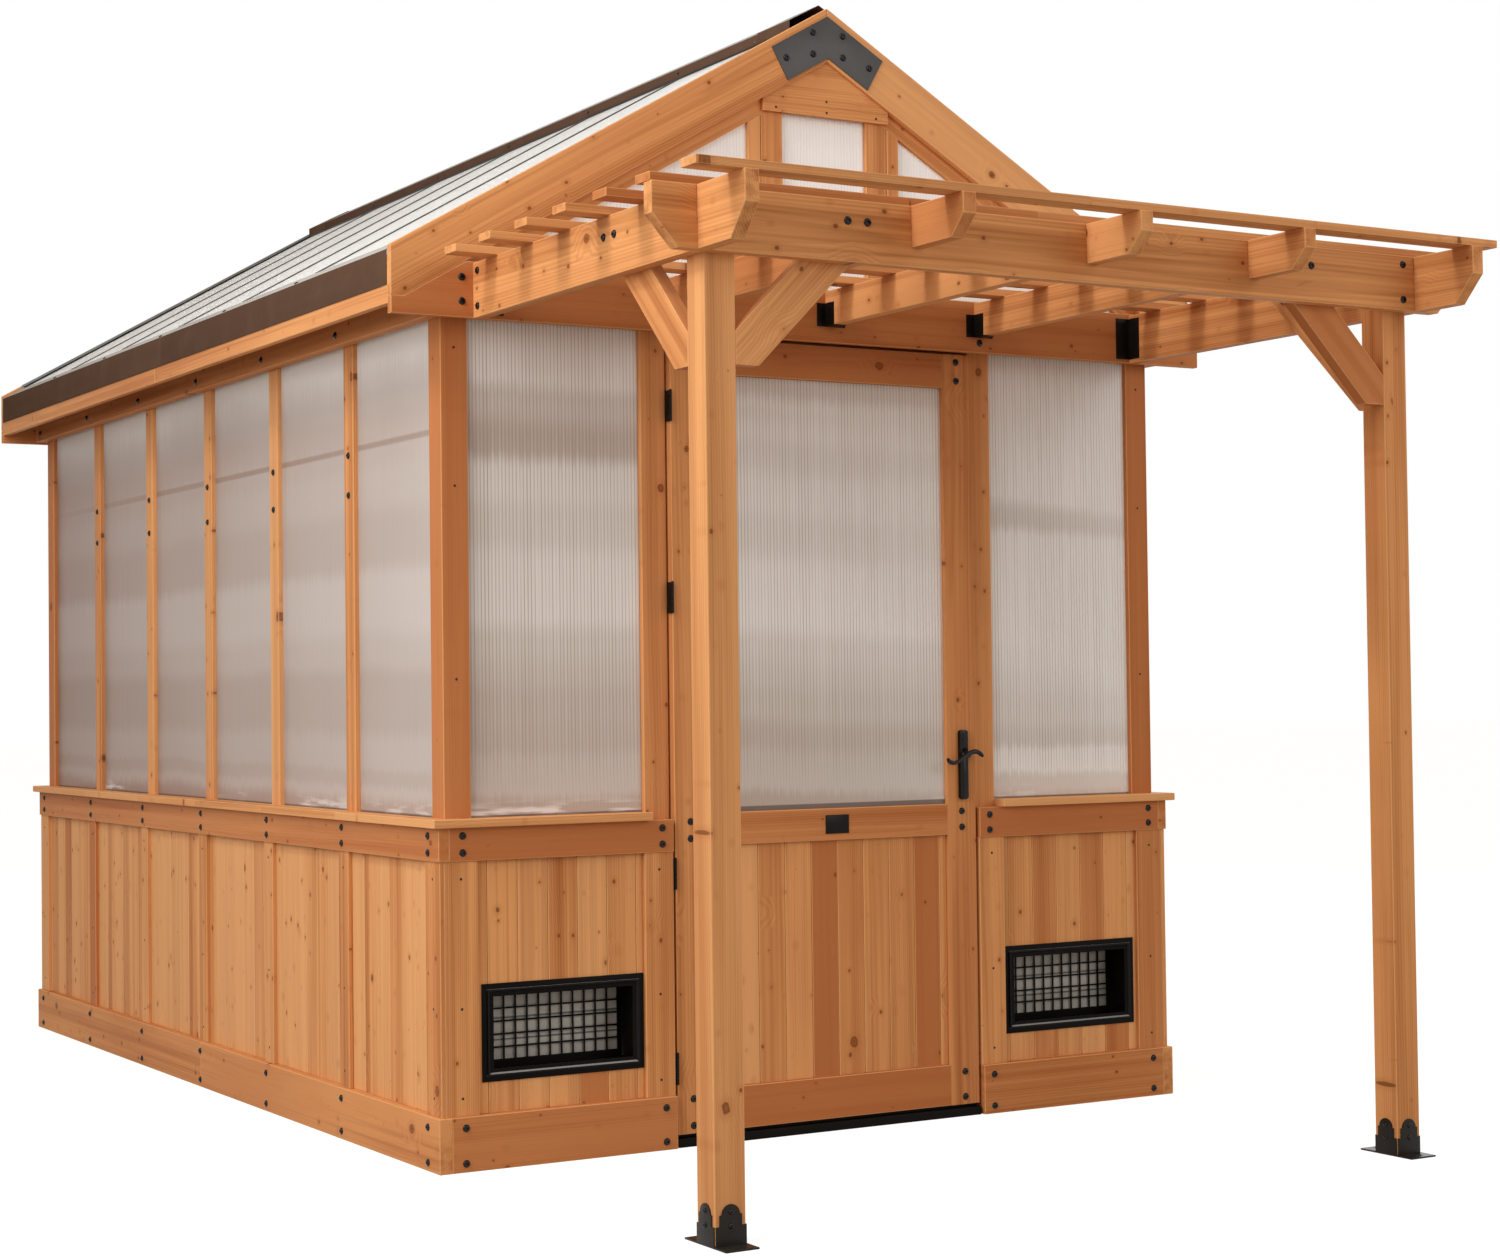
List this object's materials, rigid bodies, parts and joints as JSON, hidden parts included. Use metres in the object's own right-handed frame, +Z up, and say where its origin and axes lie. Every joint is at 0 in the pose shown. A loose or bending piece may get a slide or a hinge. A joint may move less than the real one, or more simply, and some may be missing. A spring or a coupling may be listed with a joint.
{
  "type": "walk-in greenhouse",
  "caption": "Gabled cedar walk-in greenhouse with twin-wall glazing, board skirt with louvred vents, hinged latching door and a slatted pergola porch on bracketed posts.",
  "frame": {"origin": "middle of the whole footprint on the ground", "axes": "+X to the right along the front, +Y from the porch to the rear wall, +Z up"},
  "size_m": [2.4276, 4.721, 2.8949],
  "materials": {
    "cedar": "oiled sawn and planed cedar",
    "wall_sheet": "translucent twin-wall sheet",
    "roof_sheet": "opal twin-wall sheet",
    "black_steel": "black powder coat",
    "latch_black": "satin black enamel",
    "brown_flashing": "brown coil-coated sheet metal",
    "grey_trim": "grey sheet metal",
    "dark_strip": "extruded joint strip",
    "vent_plastic": "moulded black",
    "louvre_grey": "moulded grey",
    "black_seal": "black strip"
  },
  "bodies": {
    "house": {"base_boards": "cedar", "belt_rails": "cedar", "corner_posts": "cedar", "door_jambs": "cedar", "eave_fascias": "cedar", "eave_flashings": "brown_flashing", "frame_bolts": "black_steel", "frame_hinges": "black_steel", "front_panes": "wall_sheet", "front_siding": "cedar", "gable_frames": "cedar", "gable_ledgers": "cedar", "gable_panes": "roof_sheet", "gable_rafters": "cedar", "gusset_plates": "black_steel", "knee_braces": "cedar", "pergola_brackets": "black_steel", "pergola_front_beam": "cedar", "pergola_posts": "cedar", "pergola_rafters": "cedar", "pergola_side_beams": "cedar", "pergola_slats": "cedar", "post_base_brackets": "black_steel", "rake_boards": "cedar", "rear_panes": "wall_sheet", "rear_rake_trims": "grey_trim", "rear_siding": "cedar", "ridge_beam": "cedar", "ridge_cap": "brown_flashing", "roof_joint_strips": "dark_strip", "roof_panes": "roof_sheet", "roof_rafters": "cedar", "side_panes": "wall_sheet", "side_siding": "cedar", "siding_battens": "cedar", "sill_ledges": "cedar", "strike_plate": "black_steel", "threshold": "black_seal", "top_plates": "cedar", "vent_frames": "vent_plastic", "vent_grilles": "vent_plastic", "wall_shelf": "cedar", "wall_studs": "cedar", "window_rails": "cedar"},
    "door": {"door_frame": "cedar", "door_boards": "cedar", "door_pane": "wall_sheet", "door_sweep": "black_seal", "door_bolts": "black_steel", "name_plate": "black_steel", "door_hinges": "black_steel", "latch_plates": "latch_black"},
    "lever": {"door_levers": "latch_black"},
    "latch": {"latch_bolt": "black_steel"},
    "louvre_left_1": {"louvre_left_1": "louvre_grey"},
    "louvre_left_2": {"louvre_left_2": "louvre_grey"},
    "louvre_left_3": {"louvre_left_3": "louvre_grey"},
    "louvre_right_1": {"louvre_right_1": "louvre_grey"},
    "louvre_right_2": {"louvre_right_2": "louvre_grey"},
    "louvre_right_3": {"louvre_right_3": "louvre_grey"}
  },
  "joints": [
    {"name": "door_swing", "type": "hinge", "parent": "house", "child": "door", "pos_m": [-0.4575, -1.0625, 1], "axis": [0, 0, -1], "range_deg": [0, 100]},
    {"name": "lever_turn", "type": "hinge", "parent": "door", "child": "lever", "pos_m": [0.413, -1.0385, 0.95], "axis": [0, -1, 0], "range_deg": [0, 35], "stiffness_Nm_per_rad": 1, "springref_deg": -28.65},
    {"name": "latch_slide", "type": "slide", "parent": "door", "child": "latch", "axis": [-1, 0, 0], "range_m": [0, 0.011]},
    {"name": "louvre_left_1_tilt", "type": "hinge", "parent": "house", "child": "louvre_left_1", "pos_m": [-0.7635, -0.9685, 0.397], "axis": [1, 0, 0], "range_deg": [0, 75]},
    {"name": "louvre_left_2_tilt", "type": "hinge", "parent": "house", "child": "louvre_left_2", "pos_m": [-0.7635, -0.9685, 0.345], "axis": [1, 0, 0], "range_deg": [0, 75]},
    {"name": "louvre_left_3_tilt", "type": "hinge", "parent": "house", "child": "louvre_left_3", "pos_m": [-0.7635, -0.9685, 0.293], "axis": [1, 0, 0], "range_deg": [0, 75]},
    {"name": "louvre_right_1_tilt", "type": "hinge", "parent": "house", "child": "louvre_right_1", "pos_m": [0.7635, -0.9685, 0.397], "axis": [1, 0, 0], "range_deg": [0, 75]},
    {"name": "louvre_right_2_tilt", "type": "hinge", "parent": "house", "child": "louvre_right_2", "pos_m": [0.7635, -0.9685, 0.345], "axis": [1, 0, 0], "range_deg": [0, 75]},
    {"name": "louvre_right_3_tilt", "type": "hinge", "parent": "house", "child": "louvre_right_3", "pos_m": [0.7635, -0.9685, 0.293], "axis": [1, 0, 0], "range_deg": [0, 75]}
  ],
  "couplings": [
    {"joint": "latch_slide", "follows": "lever_turn", "m_per_rad": 0.018},
    {"joint": "louvre_left_2_tilt", "follows": "louvre_left_1_tilt", "ratio": 1},
    {"joint": "louvre_left_3_tilt", "follows": "louvre_left_1_tilt", "ratio": 1},
    {"joint": "louvre_right_2_tilt", "follows": "louvre_right_1_tilt", "ratio": 1},
    {"joint": "louvre_right_3_tilt", "follows": "louvre_right_1_tilt", "ratio": 1}
  ]
}
